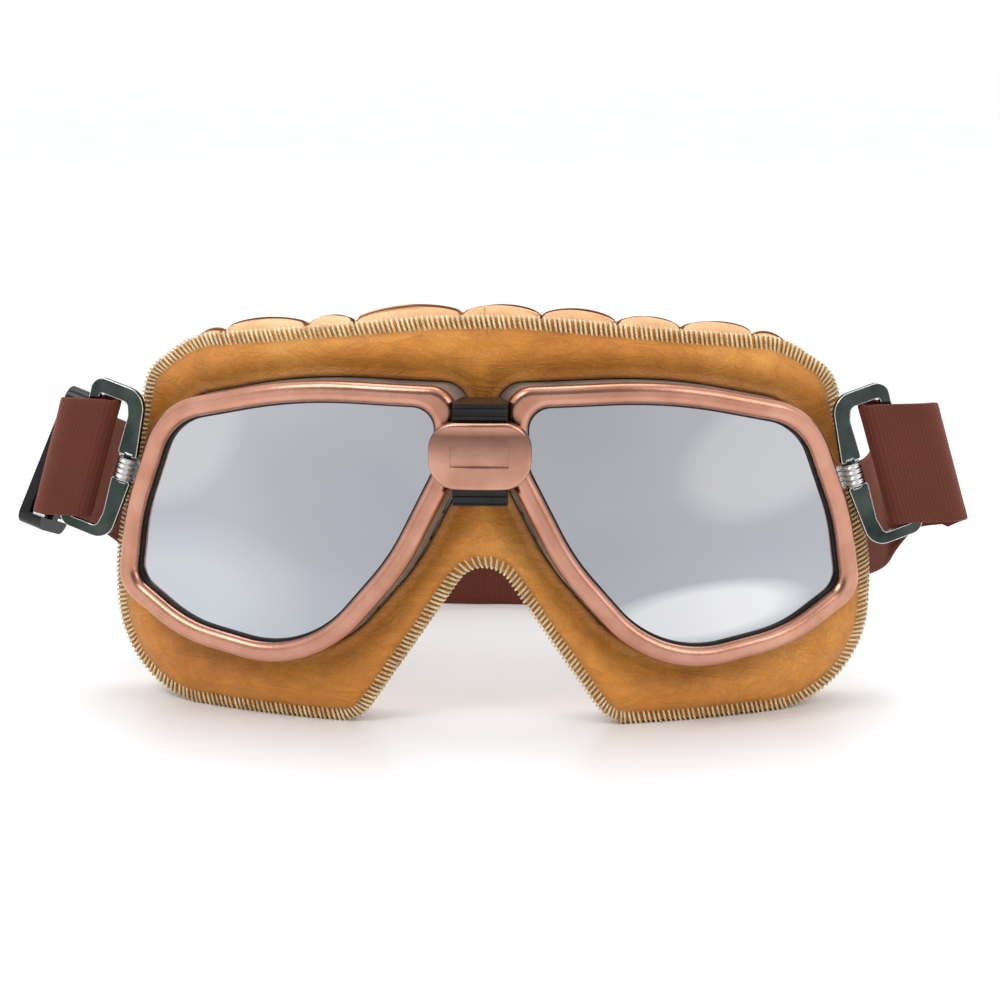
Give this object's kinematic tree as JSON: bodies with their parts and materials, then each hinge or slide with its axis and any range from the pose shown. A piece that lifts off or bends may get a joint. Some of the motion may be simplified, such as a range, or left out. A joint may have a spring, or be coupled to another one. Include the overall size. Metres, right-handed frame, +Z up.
{
  "type": "motorcycle goggles",
  "caption": "Vintage riding goggles: curved mirrored lenses in copper rims, stitched leather face with padding, swinging chrome hooks and an elastic strap with a slider.",
  "frame": {"origin": "centre of the bounding box's footprint, on the surface the goggles stand on", "axes": "+X to the right of someone facing the lenses, +Y to the back of the strap, +Z up; the lenses face -Y"},
  "size_m": [0.2323, 0.15, 0.1],
  "materials": {
    "copper_rim": "satin rose copper",
    "mirror_lens": "silver mirror coating on a clear lens",
    "black_rubber": "black soft gasket",
    "pewter_casting": "pewter grey die casting",
    "vent_mesh": "fine dark wire mesh",
    "chrome_hook": "polished chrome",
    "steel_fixings": "plain steel",
    "elastic_webbing": "red-brown woven elastic",
    "black_gloss": "gloss black",
    "tan_leather": "saddle tan leather",
    "foam": "open cell foam",
    "pale_leather": "soft pale tan leather roll",
    "cream_thread": "cream waxed thread"
  },
  "bodies": {
    "root": {"bridge_block": "black_gloss", "bridge_plate": "copper_rim", "bridge_screws": "steel_fixings", "edge_stitching": "cream_thread", "face_pad": "pale_leather", "foam_core": "foam", "leather_mask": "tan_leather", "left_eyecup": "pewter_casting", "left_hook_lug": "chrome_hook", "left_lens": "mirror_lens", "left_lens_gasket": "black_rubber", "left_lug_rivets": "steel_fixings", "left_rim": "copper_rim", "left_strap_fold": "elastic_webbing", "left_vent_mesh": "vent_mesh", "right_eyecup": "pewter_casting", "right_hook_lug": "chrome_hook", "right_lens": "mirror_lens", "right_lens_gasket": "black_rubber", "right_lug_rivets": "steel_fixings", "right_rim": "copper_rim", "right_strap_fold": "elastic_webbing", "right_vent_mesh": "vent_mesh", "strap_band": "elastic_webbing"},
    "left_hook": {"left_strap_hook": "chrome_hook", "left_strap_end": "elastic_webbing"},
    "right_hook": {"right_strap_hook": "chrome_hook", "right_strap_end": "elastic_webbing"},
    "slider": {"strap_slider": "black_gloss"}
  },
  "joints": [
    {"name": "left_hook_swing", "type": "hinge", "parent": "root", "child": "left_hook", "pos_m": [-0.08723, -0.03806, 0.0585], "axis": [0.2788, -0.0879, 0.9563], "range_deg": [-35, 20], "deforming": ["left_strap_fold"]},
    {"name": "right_hook_swing", "type": "hinge", "parent": "root", "child": "right_hook", "pos_m": [0.08723, -0.03806, 0.0585], "axis": [-0.2788, -0.0879, 0.9563], "range_deg": [-20, 35], "deforming": ["right_strap_fold"]},
    {"name": "strap_slider_slide", "type": "slide", "parent": "left_hook", "child": "slider", "axis": [0.1998, 0.9342, -0.2955], "range_m": [0, 0.006]}
  ]
}
